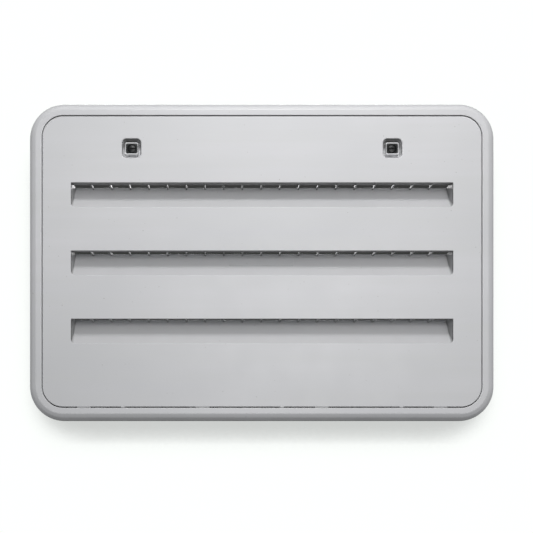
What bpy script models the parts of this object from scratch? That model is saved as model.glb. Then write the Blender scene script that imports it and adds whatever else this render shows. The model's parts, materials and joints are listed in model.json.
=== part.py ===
"""Side-wall refrigerator vent for a caravan: a moulded frame, a louvred door and two quarter-turn latches.

The vent is drawn as a plan, in millimetres: x to the right, y up the wall, and z out of the wall, with
z = 0 on the wall's outer skin. One empty stands the plan up, so the wall is the world's XZ plane, the door
faces -Y, and the world's origin is the middle of the bottom ledge, on the wall. The door hangs by four
tongues in the frame's bottom edge and tilts outwards about them. Each latch turns a cam up behind a keeper.
"""

import math

import bmesh
import bpy
from mathutils import Matrix, Vector

MM = 0.001

# Levels above the wall
FACE_Z = 12.7
SHELL = 2.5
SHELL_Z = FACE_Z - SHELL
SKIRT_Z = 3.2
CUT = 1.0  # how far a cutter runs past the surface it opens

# Door and the recess it sits in
DOOR_HALF_W = 286.4
DOOR_HALF_H = 189.55
DOOR_RADIUS = 26.8
GAP = 1.2
RECESS_HALF_W = DOOR_HALF_W + GAP
RECESS_HALF_H = DOOR_HALF_H + GAP
RECESS_RADIUS = DOOR_RADIUS + GAP
CORNER_STEPS = 9

# Frame section, as distances outwards from the recess wall and heights, with the radius of each bend
BAND_W = 7.8
RIM_W = 17.4
RIM_OUTSIDE = (
    ((BAND_W, FACE_Z), 5.0), ((12.8, 10.2), 14.0), ((RIM_W, 6.2), 3.0), ((RIM_W, 0.0), 0.0),
)
RIM_INSIDE = (
    ((RIM_W - SHELL, 0.0), 0.0), ((RIM_W - SHELL, 5.1), 0.0), ((11.4, 8.1), 0.0), ((7.2, SHELL_Z), 0.0),
)
WEB_OUTLINE = ((1.2, 0.8), (15.8, 0.8), (15.8, 5.2), (11.8, 8.9), (7.4, 11.2), (1.2, 11.2))
LEDGE_W = 17.6
COLLAR_WALL = 2.0
COLLAR_DEPTH = 20.0
LEDGE_T = 2.5
BEND_STEPS = 3

# Frame fittings
WEB_T = 1.6
WEBS_ACROSS = 8
WEB_PITCH_X = 73.6
WEBS_UP = 5
WEB_PITCH_Y = 65.0
SCREW_HOLE_R = 2.3
SCREW_SINK_R = 4.2
SCREW_INSET = 8.2
SCREW_XS = (-240.0, -80.0, 80.0, 240.0)
SCREW_YS = (-110.0, 0.0, 110.0)
KEEPER_HALF_W = 13.0
KEEPER_LOW_Y = 159.0

# Louvres: depths behind the face and heights above the opening's lower edge
LOUVRE_PITCH = 88.9
LOUVRE_MID_Y = -1.8
LOUVRE_HALF_W = 249.15
LOUVRE_H = 31.5
LOUVRE_CORNER_R = 5.0
SHEET = 2.0
SILL_BACK = (12.2, 11.6)
BAFFLE_BACK = (23.5, 31.0)
BAFFLE_TOP_H = 33.8
HOOD_DEPTH = 13.5
HOOD_RISE = 1.8
RIB_COUNT = 19
RIB_PITCH = 25.0
RIB_T = 1.5
RIB_DROP = 0.6
RIB_TALL = 4.2
PAD_HALF_W = 43.0
PAD_T = 0.4

# Door edge and back
TONGUE_XS = (-232.9, -77.9, 77.9, 232.9)
TONGUE_HALF_W = 9.15
TONGUE_Z = (7.8, 9.8)
TONGUE_REACH = 8.0
WINDOW_Z = (3.0, 10.15)
WINDOW_SIDE_GAP = 0.8
NUB_XS = (-181.7, 26.0, 181.7)
NUB_HALF_W = 2.3
NUB_REACH = 0.85
NUB_DROP = 0.1
SHOULDER_STEP = 0.4
SHOULDER_DROP = 0.4
STIFFENER_XS = (-225.0, -112.5, 0.0, 112.5, 225.0)
STIFFENER_T = 1.6
STIFFENER_Z = 6.4

# Latch recess in the door
LATCH_X = 170.3
LATCH_Y = 147.8
PAN_TOP_HALF = 12.8
PAN_FLOOR_HALF = 10.2
PAN_RADIUS = 4.0
PAN_FLOOR_Z = 6.0
PAN_WALL = 2.2
BOSS_HALF = (8.3, 7.9)
BOSS_TOP_Z = 11.6
SQUARE_HOLE_HALF = (7.45, 6.15)
CLEAR = 0.3

# Latch hardware, along its own axis
BEZEL_Z = (2.2, 10.9)
BEZEL_RADIUS = 1.4
HEAD_R = 5.1
HEAD_FLOOR_Z = 8.4
HEAD_TOP_Z = 11.2
SHAFT_R = 3.5
SHAFT_END_Z = -0.5
SQUARE_HALF = 2.5
SQUARE_END_Z = -3.3
SLOT_HALF_W = 0.8
SLOT_DEPTH = 1.3
PILOT_R = 1.5
PILOT_DEPTH = 6.0
RETAINER_HALF = (11.0, 10.0)
RETAINER_T = 0.8
WASHER_R = (4.0, 5.8)
WASHER_T = 0.6
WASHER_RISE = 1.6
CAM_Z = (-3.0, -0.8)
CAM_HUB_R = 6.0
CAM_LENGTH = 20.0
CAM_TIP_R = 5.0
SCREW_HEAD_R = 3.6
SCREW_HEAD_T = 1.6
SCREW_SHANK_R = 1.2
SCREW_LENGTH = 5.0
TURN_STEPS = 24


# ---------------------------------------------------------------- shape helpers


def rounded_outline(half_w, half_h, radius, steps=CORNER_STEPS):
    """Points of a rounded rectangle about the origin, anticlockwise."""
    points = []
    for turn, (sx, sy) in enumerate(((1, 1), (-1, 1), (-1, -1), (1, -1))):
        centre = (sx * (half_w - radius), sy * (half_h - radius))
        for step in range(steps + 1):
            angle = (turn + step / steps) * math.pi / 2
            points.append(
                (centre[0] + radius * math.cos(angle), centre[1] + radius * math.sin(angle))
            )
    return points


def flat_curve(points):
    """A closed 2D curve through the points."""
    curve = bpy.data.curves.new("outline", "CURVE")
    curve.dimensions = "2D"
    spline = curve.splines.new("POLY")
    spline.points.add(len(points) - 1)
    for target, (x, y) in zip(spline.points, points, strict=True):
        target.co = (x * MM, y * MM, 0.0, 1.0)
    spline.use_cyclic_u = True
    return bpy.data.objects.new("outline", curve)


def baked(obj):
    """The object's evaluated shape as a welded mesh in world space; the object is removed."""
    if obj.name not in bpy.context.scene.collection.objects:
        bpy.context.scene.collection.objects.link(obj)
    graph = bpy.context.evaluated_depsgraph_get()
    mesh = bpy.data.meshes.new_from_object(obj.evaluated_get(graph))
    mesh.transform(obj.matrix_world)
    bpy.data.objects.remove(obj)
    bm = bmesh.new()
    bm.from_mesh(mesh)
    bmesh.ops.remove_doubles(bm, verts=bm.verts, dist=0.002 * MM)
    bmesh.ops.recalc_face_normals(bm, faces=bm.faces)
    bm.to_mesh(mesh)
    bm.free()
    return mesh


def prism(points, low, high):
    """A flat outline in x and y, thick from z = low to z = high."""
    obj = flat_curve(points)
    obj.data.fill_mode = "BOTH"
    obj.data.extrude = (high - low) / 2 * MM
    mesh = baked(obj)
    mesh.transform(Matrix.Translation((0, 0, (low + high) / 2 * MM)))
    return mesh


def strip(points, low, high):
    """A section in y and z, drawn out along x from low to high."""
    mesh = prism(points, low, high)
    mesh.transform(Matrix(((0, 0, 1, 0), (1, 0, 0, 0), (0, 1, 0, 0), (0, 0, 0, 1))))
    return mesh


def box(low, high):
    """A block between two corners."""
    middle = [(a + b) / 2 * MM for a, b in zip(low, high, strict=True)]
    size = [(b - a) * MM for a, b in zip(low, high, strict=True)]
    bm = bmesh.new()
    matrix = Matrix.Translation(middle) @ Matrix.Diagonal((*size, 1))
    bmesh.ops.create_cube(bm, size=1, matrix=matrix)
    return finished(bm)


def cone(low_radius, high_radius, low, high, steps=16):
    """A round bar or cone along z."""
    bm = bmesh.new()
    bmesh.ops.create_cone(
        bm, cap_ends=True, segments=steps, radius1=low_radius * MM, radius2=high_radius * MM,
        depth=(high - low) * MM, matrix=Matrix.Translation((0, 0, (low + high) / 2 * MM)),
    )
    return finished(bm)


def loft(rings):
    """A closed skin over rings of matching points, each ring given as (outline, z)."""
    bm = bmesh.new()
    rows = [[bm.verts.new((x * MM, y * MM, z * MM)) for x, y in outline] for outline, z in rings]
    for below, above in zip(rows, rows[1:]):
        for i in range(len(below)):
            j = (i + 1) % len(below)
            bm.faces.new((below[i], below[j], above[j], above[i]))
    bm.faces.new(rows[0])
    bm.faces.new(rows[-1])
    bmesh.ops.recalc_face_normals(bm, faces=bm.faces)
    return finished(bm)


def turned(profile):
    """A profile of (radius, z) points turned about z; it runs down its outer side."""
    bm = bmesh.new()
    chain = [bm.verts.new((r * MM, 0, z * MM)) for r, z in profile]
    for a, b in zip(chain, chain[1:]):
        bm.edges.new((a, b))
    obj = bpy.data.objects.new("profile", finished(bm))
    screw = obj.modifiers.new("turn", "SCREW")
    screw.steps = TURN_STEPS
    screw.render_steps = TURN_STEPS
    screw.use_merge_vertices = True
    screw.merge_threshold = 0.00001
    return baked(obj)


def finished(bm):
    """The working mesh as mesh data."""
    mesh = bpy.data.meshes.new("shape")
    bm.to_mesh(mesh)
    bm.free()
    return mesh


def moved(mesh, x=0.0, y=0.0, z=0.0, turn=0.0):
    """A copy of the mesh, turned about z and then moved."""
    copy = mesh.copy()
    copy.transform(Matrix.Rotation(turn, 4, "Z"))
    copy.transform(Matrix.Translation(Vector((x, y, z)) * MM))
    return copy


def gathered(meshes):
    """Several separate shapes as one mesh."""
    bm = bmesh.new()
    for mesh in meshes:
        bm.from_mesh(mesh)
    return finished(bm)


def combined(mesh, operation, others):
    """The mesh with other shapes, clear of each other, joined on (UNION) or cut away (DIFFERENCE)."""
    body = bpy.data.objects.new("body", mesh)
    tool = bpy.data.objects.new("tool", gathered(others))
    bpy.context.scene.collection.objects.link(body)
    bpy.context.scene.collection.objects.link(tool)
    boolean = body.modifiers.new("combine", "BOOLEAN")
    boolean.operation = operation
    boolean.solver = "EXACT"
    boolean.object = tool
    result = baked(body)
    bpy.data.objects.remove(tool)
    return result


# ---------------------------------------------------------------- frame


def bent(corners):
    """A path through corners given as (point, radius), with each bend drawn as a short arc."""
    path = [corners[0][0]]
    for (before, _), (corner, radius), (after, _) in zip(corners, corners[1:], corners[2:]):
        here = Vector(corner)
        back = (Vector(before) - here).normalized()
        onward = (Vector(after) - here).normalized()
        if radius == 0.0:
            path.append(corner)
            continue
        half = back.angle(onward) / 2
        centre = here + (back + onward).normalized() * radius / math.sin(half)
        start = here + back * radius / math.tan(half) - centre
        sweep = start.angle_signed(here + onward * radius / math.tan(half) - centre)
        for step in range(BEND_STEPS + 1):
            turned_by = Matrix.Rotation(-sweep * step / BEND_STEPS, 2)
            path.append(tuple(centre + turned_by @ start))
    path.append(corners[-1][0])
    return path


def frame_section():
    """The moulding's section as (offset outwards from the recess wall, height), closed."""
    outside = bent((((0.0, FACE_Z), 0.0), *RIM_OUTSIDE))
    inside = [point for point, _ in RIM_INSIDE]
    back = [(SHELL, SHELL_Z), (SHELL, 0.0), (-LEDGE_W, 0.0), (-LEDGE_W, -COLLAR_DEPTH)]
    inner = -LEDGE_W - COLLAR_WALL
    front = [(inner, -COLLAR_DEPTH), (inner, LEDGE_T), (0.0, LEDGE_T)]
    return outside + inside + back + front


def swept_frame():
    """The section carried round the recess outline."""
    path = flat_curve(rounded_outline(RECESS_HALF_W, RECESS_HALF_H, RECESS_RADIUS))
    section = flat_curve([(-offset, height) for offset, height in frame_section()])
    path.data.bevel_mode = "OBJECT"
    path.data.bevel_object = section
    mesh = baked(path)
    bpy.data.objects.remove(section)
    return mesh


def rim_webs():
    """Thin walls that brace the hollow rim, clear of the tongues' windows."""
    web = prism(WEB_OUTLINE, -WEB_T / 2, WEB_T / 2)
    web.transform(Matrix(((1, 0, 0, 0), (0, 0, -1, 0), (0, 1, 0, 0), (0, 0, 0, 1))))
    webs = []
    for i in range(WEBS_ACROSS):
        x = (i - (WEBS_ACROSS - 1) / 2) * WEB_PITCH_X
        webs.append(moved(web, x, RECESS_HALF_H, turn=math.pi / 2))
        webs.append(moved(web, x, -RECESS_HALF_H, turn=-math.pi / 2))
    for i in range(WEBS_UP):
        y = (i - (WEBS_UP - 1) / 2) * WEB_PITCH_Y
        webs.append(moved(web, RECESS_HALF_W, y))
        webs.append(moved(web, -RECESS_HALF_W, y, turn=math.pi))
    return webs


def screw_places():
    x_side = RECESS_HALF_W - SCREW_INSET
    y_side = RECESS_HALF_H - SCREW_INSET
    places = [(x, side * y_side) for x in SCREW_XS for side in (-1, 1)]
    return places + [(side * x_side, y) for y in SCREW_YS for side in (-1, 1)]


def screw_holes():
    """Round holes down the middle of the ledge."""
    hole = cone(SCREW_HOLE_R, SCREW_HOLE_R, -CUT, LEDGE_T + CUT)
    return [moved(hole, x, y) for x, y in screw_places()]


def screw_sinks():
    """Sunk mouths for the screw heads."""
    depth = SCREW_SINK_R - SCREW_HOLE_R
    sink = cone(SCREW_HOLE_R, SCREW_SINK_R + CUT, LEDGE_T - depth, LEDGE_T + CUT)
    return [moved(sink, x, y) for x, y in screw_places()]


def tongue_windows():
    """Openings in the bottom recess wall that the door's tongues pass through."""
    half = TONGUE_HALF_W + WINDOW_SIDE_GAP
    low_y = -RECESS_HALF_H - SHELL - CUT
    high_y = -RECESS_HALF_H + CUT
    return [box((x - half, low_y, WINDOW_Z[0]), (x + half, high_y, WINDOW_Z[1])) for x in TONGUE_XS]


def keepers():
    """Tabs that hang from the top ledge in front of the latch cams."""
    ledge_edge = RECESS_HALF_H - LEDGE_W - COLLAR_WALL
    section = [
        (KEEPER_LOW_Y, 0.0), (ledge_edge + 2 * CUT, 0.0), (ledge_edge + 2 * CUT, LEDGE_T),
        (KEEPER_LOW_Y + 3.0, LEDGE_T), (KEEPER_LOW_Y, LEDGE_T - 1.2),
    ]
    tab = strip(section, -KEEPER_HALF_W, KEEPER_HALF_W)
    return [moved(tab, -LATCH_X), moved(tab, LATCH_X)]


def frame_mesh():
    mesh = swept_frame()
    mesh = combined(mesh, "UNION", rim_webs())
    mesh = combined(mesh, "UNION", keepers())
    mesh = combined(mesh, "DIFFERENCE", screw_holes() + tongue_windows())
    return combined(mesh, "DIFFERENCE", screw_sinks())


# ---------------------------------------------------------------- door


def louvre_bases():
    """Heights of the three openings' lower edges."""
    return [LOUVRE_MID_Y + i * LOUVRE_PITCH - LOUVRE_H / 2 for i in (-1, 0, 1)]


def at_louvre(points, base):
    """Points given as (depth behind the face, height above the opening's edge) as (y, z)."""
    return [(base + height, FACE_Z - depth) for depth, height in points]


def louvre_opening(base):
    """The slot through the face, square at the top and rounded at the bottom."""
    radius = LOUVRE_CORNER_R
    w = LOUVRE_HALF_W
    points = [(w, base + LOUVRE_H), (-w, base + LOUVRE_H)]
    for turn, side in ((2, -1), (3, 1)):
        for step in range(7):
            angle = (turn + step / 6) * math.pi / 2
            x = side * (w - radius) + radius * math.cos(angle)
            points.append((x, base + radius + radius * math.sin(angle)))
    return prism(points, SHELL_Z - CUT, FACE_Z + CUT)


def scoop(base):
    """Sill and baffle: one bent sheet from the slot's lower edge up and back behind the face."""
    points = [
        (1.0, -1.4), (1.0, 0.0), SILL_BACK, BAFFLE_BACK, (BAFFLE_BACK[0], BAFFLE_TOP_H),
        (BAFFLE_BACK[0] + SHEET, BAFFLE_TOP_H), (BAFFLE_BACK[0] + SHEET, BAFFLE_BACK[1] - 0.6),
        (SILL_BACK[0] + 1.5, SILL_BACK[1] - 1.6), (2.6, -1.4),
    ]
    half = LOUVRE_HALF_W + SHEET / 2
    return strip(at_louvre(points, base), -half, half)


def hood(base):
    """A lip turned back from the slot's upper edge."""
    points = [
        (1.2, LOUVRE_H + 0.2), (HOOD_DEPTH, LOUVRE_H + HOOD_RISE),
        (HOOD_DEPTH, LOUVRE_H + HOOD_RISE + SHEET), (1.2, LOUVRE_H + SHEET + 0.2),
    ]
    half = LOUVRE_HALF_W + SHEET / 2
    return strip(at_louvre(points, base), -half, half)


def scoop_ends(base):
    """Walls that close the scoop at both ends."""
    points = [
        (1.2, -1.2), (1.2, LOUVRE_H + 1.6), (HOOD_DEPTH - 1.0, LOUVRE_H + HOOD_RISE + 1.4),
        (BAFFLE_BACK[0] + 1.4, BAFFLE_TOP_H - 0.4), (BAFFLE_BACK[0] + 1.4, BAFFLE_BACK[1] - 0.3),
        (SILL_BACK[0] + 1.1, SILL_BACK[1] - 1.1), (2.2, -1.2),
    ]
    wall = strip(at_louvre(points, base), 0.0, SHEET)
    return [moved(wall, LOUVRE_HALF_W), moved(wall, -LOUVRE_HALF_W - SHEET)]


def louvre_ribs(base):
    """Fins that tie the hood to the top of the baffle."""
    low = LOUVRE_H - RIB_DROP
    points = [
        (1.4, low + 0.8), (2.6, low), (BAFFLE_BACK[0] + 0.8, low), (BAFFLE_BACK[0] + 0.8, BAFFLE_TOP_H - 0.6),
        (HOOD_DEPTH - 0.8, low + RIB_TALL), (1.4, low + 1.8),
    ]
    fin = strip(at_louvre(points, base), -RIB_T / 2, RIB_T / 2)
    first = -(RIB_COUNT - 1) / 2 * RIB_PITCH
    return [moved(fin, first + i * RIB_PITCH) for i in range(RIB_COUNT)]


def blank_pad(base):
    """A thin plain panel in the middle of a baffle."""
    mid = 0.5
    depth = SILL_BACK[0] + mid * (BAFFLE_BACK[0] - SILL_BACK[0])
    height = SILL_BACK[1] + mid * (BAFFLE_BACK[1] - SILL_BACK[1])
    lean = Vector((BAFFLE_BACK[0] - SILL_BACK[0], BAFFLE_BACK[1] - SILL_BACK[1])).normalized()
    out = Vector((-lean.y, lean.x))
    centre = Vector((depth, height))
    corners = [
        centre + lean * along + out * proud
        for along, proud in ((-7.0, -0.8), (7.0, -0.8), (7.0, PAD_T), (-7.0, PAD_T))
    ]
    return strip(at_louvre([tuple(c) for c in corners], base), -PAD_HALF_W, PAD_HALF_W)


def door_stiffeners():
    """Low upright ribs on the back of the face, between the louvres."""
    bases = louvre_bases()
    hood_top = LOUVRE_H + HOOD_RISE + SHEET / 2
    spans = [(-DOOR_HALF_H + SHELL / 2, bases[0] - 0.8)]
    spans += [(low + hood_top, high - 0.8) for low, high in zip(bases, bases[1:])]
    spans += [(bases[2] + hood_top, DOOR_HALF_H - SHELL / 2)]
    half = STIFFENER_T / 2
    return [
        box((x - half, low, STIFFENER_Z), (x + half, high, SHELL_Z + SHELL / 2))
        for x in STIFFENER_XS
        for low, high in spans
    ]


def tongues_and_nubs():
    """Hanging tongues and small spacers along the door's bottom edge."""
    root_y = -DOOR_HALF_H + SHELL / 2
    tip_y = -DOOR_HALF_H - TONGUE_REACH
    parts = [
        box((x - TONGUE_HALF_W, tip_y, TONGUE_Z[0]), (x + TONGUE_HALF_W, root_y, TONGUE_Z[1]))
        for x in TONGUE_XS
    ]
    nub_y = -DOOR_HALF_H - NUB_REACH
    parts += [
        box((x - NUB_HALF_W, nub_y, SHELL_Z), (x + NUB_HALF_W, root_y, FACE_Z - NUB_DROP))
        for x in NUB_XS
    ]
    return parts


def shoulders():
    """Thin ledges that close the gap in front of the tongues."""
    half = TONGUE_HALF_W - SHOULDER_STEP
    edge_y, root_y = -DOOR_HALF_H - NUB_REACH, -DOOR_HALF_H + SHELL / 2
    return [
        box((x - half, edge_y, TONGUE_Z[0] + 1.0), (x + half, root_y, FACE_Z - SHOULDER_DROP))
        for x in TONGUE_XS
    ]


def at_latches(mesh):
    return [moved(mesh, -LATCH_X, LATCH_Y), moved(mesh, LATCH_X, LATCH_Y)]


def square(half, radius=PAN_RADIUS):
    return rounded_outline(half, half, radius, steps=4)


def latch_recess(mesh):
    """Adds the two square pans with a raised boss and a square hole."""
    top, floor = PAN_TOP_HALF, PAN_FLOOR_HALF
    slope = (top - floor) / (FACE_Z - PAN_FLOOR_Z)
    back_z = PAN_FLOOR_Z - PAN_WALL
    shell = loft((
        (square(floor + PAN_WALL), back_z),
        (square(top + PAN_WALL), SHELL_Z + SHELL / 2),
    ))
    cavity = loft((
        (square(floor), PAN_FLOOR_Z),
        (square(top + slope * CUT), FACE_Z + CUT),
    ))
    boss = prism(rounded_outline(*BOSS_HALF, 2.0, steps=4), back_z + CUT, BOSS_TOP_Z)
    hole = prism(rounded_outline(*SQUARE_HOLE_HALF, BEZEL_RADIUS + CLEAR, steps=4), 0.0, FACE_Z)
    mesh = combined(mesh, "UNION", at_latches(shell))
    mesh = combined(mesh, "DIFFERENCE", at_latches(cavity))
    mesh = combined(mesh, "UNION", at_latches(boss))
    return combined(mesh, "DIFFERENCE", at_latches(hole))


def door_mesh():
    bases = louvre_bases()
    mesh = prism(rounded_outline(DOOR_HALF_W, DOOR_HALF_H, DOOR_RADIUS), SKIRT_Z, FACE_Z)
    pocket = rounded_outline(DOOR_HALF_W - SHELL, DOOR_HALF_H - SHELL, DOOR_RADIUS - SHELL)
    mesh = combined(mesh, "DIFFERENCE", [prism(pocket, SKIRT_Z - CUT, SHELL_Z)])
    mesh = combined(mesh, "DIFFERENCE", [louvre_opening(base) for base in bases])
    mesh = combined(mesh, "UNION", [scoop(base) for base in bases])
    mesh = combined(mesh, "UNION", [hood(base) for base in bases])
    mesh = combined(mesh, "UNION", [wall for base in bases for wall in scoop_ends(base)])
    mesh = combined(mesh, "UNION", [rib for base in bases for rib in louvre_ribs(base)])
    mesh = combined(mesh, "UNION", [blank_pad(bases[1])])
    mesh = combined(mesh, "UNION", door_stiffeners())
    mesh = combined(mesh, "UNION", tongues_and_nubs())
    mesh = combined(mesh, "UNION", shoulders())
    return latch_recess(mesh)


# ---------------------------------------------------------------- latch pieces, about their own axis


def bezel_mesh():
    """Square plastic bush that snaps into the door and carries the knob."""
    half = [side - CLEAR for side in SQUARE_HOLE_HALF]
    mesh = prism(rounded_outline(*half, BEZEL_RADIUS, steps=4), *BEZEL_Z)
    bore = turned((
        (0.0, BEZEL_Z[1] + CUT), (HEAD_R + CLEAR, BEZEL_Z[1] + CUT),
        (HEAD_R + CLEAR, HEAD_FLOOR_Z), (SHAFT_R + CLEAR, HEAD_FLOOR_Z),
        (SHAFT_R + CLEAR, BEZEL_Z[0] - CUT), (0.0, BEZEL_Z[0] - CUT),
    ))
    return combined(mesh, "DIFFERENCE", [bore])


def retainer_mesh():
    """Spring-steel plate pushed over the bush behind the door."""
    top = PAN_FLOOR_Z - PAN_WALL - CLEAR
    low = top - RETAINER_T
    mesh = prism(rounded_outline(*RETAINER_HALF, 2.0, steps=4), low, top)
    opening = [side + 0.05 for side in SQUARE_HOLE_HALF]
    hole = prism(rounded_outline(*opening, BEZEL_RADIUS + CLEAR, steps=4), low - CUT, top + CUT)
    return combined(mesh, "DIFFERENCE", [hole])


def knob_mesh():
    """Domed head with a coin slot, round shaft and square end with a pilot hole."""
    dome = HEAD_TOP_Z - 0.9
    mesh = turned((
        (0.0, HEAD_TOP_Z), (HEAD_R * 0.5, HEAD_TOP_Z - 0.2), (HEAD_R * 0.85, HEAD_TOP_Z - 0.55),
        (HEAD_R, dome), (HEAD_R, HEAD_FLOOR_Z + CLEAR), (SHAFT_R, HEAD_FLOOR_Z + CLEAR),
        (SHAFT_R, SHAFT_END_Z), (0.0, SHAFT_END_Z),
    ))
    square_end = box(
        (-SQUARE_HALF, -SQUARE_HALF, SQUARE_END_Z), (SQUARE_HALF, SQUARE_HALF, SHAFT_END_Z + CUT)
    )
    slot = box(
        (-HEAD_R * 0.86, -SLOT_HALF_W, HEAD_TOP_Z - SLOT_DEPTH),
        (HEAD_R * 0.86, SLOT_HALF_W, HEAD_TOP_Z + CUT),
    )
    pilot = cone(PILOT_R, PILOT_R, SQUARE_END_Z - CUT, SQUARE_END_Z + PILOT_DEPTH)
    mesh = combined(mesh, "UNION", [square_end])
    return combined(mesh, "DIFFERENCE", [slot, pilot])


def washer_mesh():
    """Coned spring washer between the bush and the cam."""
    low = CAM_Z[1] + CLEAR
    return turned((
        (WASHER_R[0], low + WASHER_RISE + WASHER_T), (WASHER_R[1], low + WASHER_T),
        (WASHER_R[1], low), (WASHER_R[0], low + WASHER_RISE), (WASHER_R[0], low + WASHER_RISE + WASHER_T),
    ))


def cam_mesh():
    """Flat cam with a square hole, pointing sideways when it is unlocked."""
    points = []
    reach = CAM_LENGTH - CAM_TIP_R
    for step in range(13):
        angle = math.pi / 2 - step / 12 * math.pi
        points.append((CAM_HUB_R * math.cos(angle), CAM_HUB_R * math.sin(angle)))
    for step in range(9):
        angle = -math.pi / 2 - step / 8 * math.pi
        points.append((-reach + CAM_TIP_R * math.cos(angle), CAM_TIP_R * math.sin(angle)))
    mesh = prism(points, *CAM_Z)
    side = SQUARE_HALF + CLEAR
    hole = box((-side, -side, CAM_Z[0] - CUT), (side, side, CAM_Z[1] + CUT))
    return combined(mesh, "DIFFERENCE", [hole])


def latch_screw_mesh():
    """Pan-head screw with a cross recess that holds the cam on the shaft."""
    seat = SQUARE_END_Z - CLEAR
    low = seat - SCREW_HEAD_T
    mesh = turned((
        (0.0, seat + SCREW_LENGTH), (SCREW_SHANK_R, seat + SCREW_LENGTH), (SCREW_SHANK_R, seat),
        (SCREW_HEAD_R, seat), (SCREW_HEAD_R, low + 0.5), (SCREW_HEAD_R - 0.6, low), (0.0, low),
    ))
    mesh = combined(mesh, "DIFFERENCE", [box((-1.9, -0.35, low - CUT), (1.9, 0.35, low + 0.9))])
    return combined(mesh, "DIFFERENCE", [box((-0.35, -1.9, low - CUT), (0.35, 1.9, low + 0.9))])


# ---------------------------------------------------------------- materials and assembly


def plain_material(name, colour, roughness, metallic=0.0):
    material = bpy.data.materials.new(name)
    material.use_nodes = True
    shader = material.node_tree.nodes["Principled BSDF"]
    shader.inputs["Base Color"].default_value = (*colour, 1.0)
    shader.inputs["Roughness"].default_value = roughness
    shader.inputs["Metallic"].default_value = metallic
    return material


def empty(name, parent, x=0.0, y=0.0, z=0.0):
    marker = bpy.data.objects.new(name, None)
    marker.parent = parent
    marker.location = Vector((x, y, z)) * MM
    bpy.context.scene.collection.objects.link(marker)
    return marker


def piece(name, mesh, material, parent, collection):
    """A named part whose mesh is drawn about its parent's place."""
    obj = bpy.data.objects.new(name, mesh)
    obj.parent = parent
    mesh.materials.clear()
    mesh.materials.append(material)
    mesh.shade_smooth()
    mesh.set_sharp_from_angle(angle=math.radians(30))
    collection.objects.link(obj)
    return obj


def build():
    for obj in list(bpy.data.objects):
        bpy.data.objects.remove(obj)
    parts = bpy.data.collections.new("refrigerator_vent")
    bpy.context.scene.collection.children.link(parts)

    abs_white = plain_material("white_abs", (0.62, 0.62, 0.64), 0.42)
    black = plain_material("black_plastic", (0.012, 0.012, 0.013), 0.35)
    steel = plain_material("zinc_steel", (0.60, 0.60, 0.58), 0.38, 1.0)

    wall = empty("wall_plane", None, z=RECESS_HALF_H - SCREW_INSET)
    wall.rotation_euler = (math.pi / 2, 0, 0)
    hinge = (0.0, -DOOR_HALF_H - GAP / 2, FACE_Z)
    door_pivot = empty("door_pivot", wall, *hinge)

    piece("frame", frame_mesh(), abs_white, wall, parts)
    door = moved(door_mesh(), *(-value for value in hinge))
    piece("door_panel", door, abs_white, door_pivot, parts)

    for side, sign in (("left", -1), ("right", 1)):
        pivot = empty(
            f"{side}_latch_pivot", door_pivot, sign * LATCH_X, LATCH_Y - hinge[1], -hinge[2]
        )
        piece(f"{side}_latch_bezel", bezel_mesh(), black, pivot, parts)
        piece(f"{side}_latch_retainer", retainer_mesh(), steel, pivot, parts)
        piece(f"{side}_latch_knob", knob_mesh(), black, pivot, parts)
        piece(f"{side}_latch_washer", washer_mesh(), steel, pivot, parts)
        piece(f"{side}_latch_cam", cam_mesh(), black, pivot, parts)
        piece(f"{side}_latch_screw", latch_screw_mesh(), steel, pivot, parts)


build()
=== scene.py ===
"""Looks of the side-wall refrigerator vent: fine meshes, plastic and metal materials, studio and camera.

Shapes are drawn like the CAD part: as a plan in millimetres, x to the right, y up the wall, z out of it,
and then stood up in the frame's metres. Sizes come from the frame's boxes and joints; the constants below
are the wall thicknesses, bends and roundings of the mouldings.
"""

import json
import math

import bmesh
import bpy
from mathutils import Matrix, Vector


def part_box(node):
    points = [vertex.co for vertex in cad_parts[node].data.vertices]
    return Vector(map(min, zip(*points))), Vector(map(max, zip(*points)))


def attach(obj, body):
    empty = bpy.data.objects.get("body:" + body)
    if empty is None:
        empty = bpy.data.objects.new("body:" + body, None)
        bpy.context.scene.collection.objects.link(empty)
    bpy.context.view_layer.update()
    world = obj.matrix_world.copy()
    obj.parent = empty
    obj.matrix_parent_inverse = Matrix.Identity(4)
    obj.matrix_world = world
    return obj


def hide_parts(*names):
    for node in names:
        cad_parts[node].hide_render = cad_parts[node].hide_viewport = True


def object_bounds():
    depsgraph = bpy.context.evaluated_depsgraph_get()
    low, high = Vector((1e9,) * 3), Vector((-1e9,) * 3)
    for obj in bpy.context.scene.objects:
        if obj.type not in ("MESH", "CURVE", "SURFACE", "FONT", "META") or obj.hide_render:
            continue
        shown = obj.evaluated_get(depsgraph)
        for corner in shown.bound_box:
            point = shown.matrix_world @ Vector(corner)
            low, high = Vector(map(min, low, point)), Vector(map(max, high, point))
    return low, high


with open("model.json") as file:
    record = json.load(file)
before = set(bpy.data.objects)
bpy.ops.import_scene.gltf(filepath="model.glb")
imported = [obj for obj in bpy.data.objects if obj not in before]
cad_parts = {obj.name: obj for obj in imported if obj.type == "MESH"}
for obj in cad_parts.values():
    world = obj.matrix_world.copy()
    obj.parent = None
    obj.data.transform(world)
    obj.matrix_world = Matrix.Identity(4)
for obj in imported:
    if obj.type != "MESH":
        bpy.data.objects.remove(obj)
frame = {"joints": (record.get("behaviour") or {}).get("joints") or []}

cad_low, cad_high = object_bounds()

MM = 0.001
CUT = 1.0  # how far a cutter runs past the surface it opens

# ---------------------------------------------------------------- sizes read from the frame

frame_low, frame_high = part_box("frame")
door_low, door_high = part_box("door_panel")
joints = {joint["name"]: joint for joint in frame["joints"]}

MIDDLE_Z = (frame_low[2] + frame_high[2]) / 2  # the plan's y = 0, in metres up the wall
PLAN = Matrix.Translation((0, 0, MIDDLE_Z)) @ Matrix.Rotation(math.pi / 2, 4, "X") @ Matrix.Scale(MM, 4)

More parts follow.
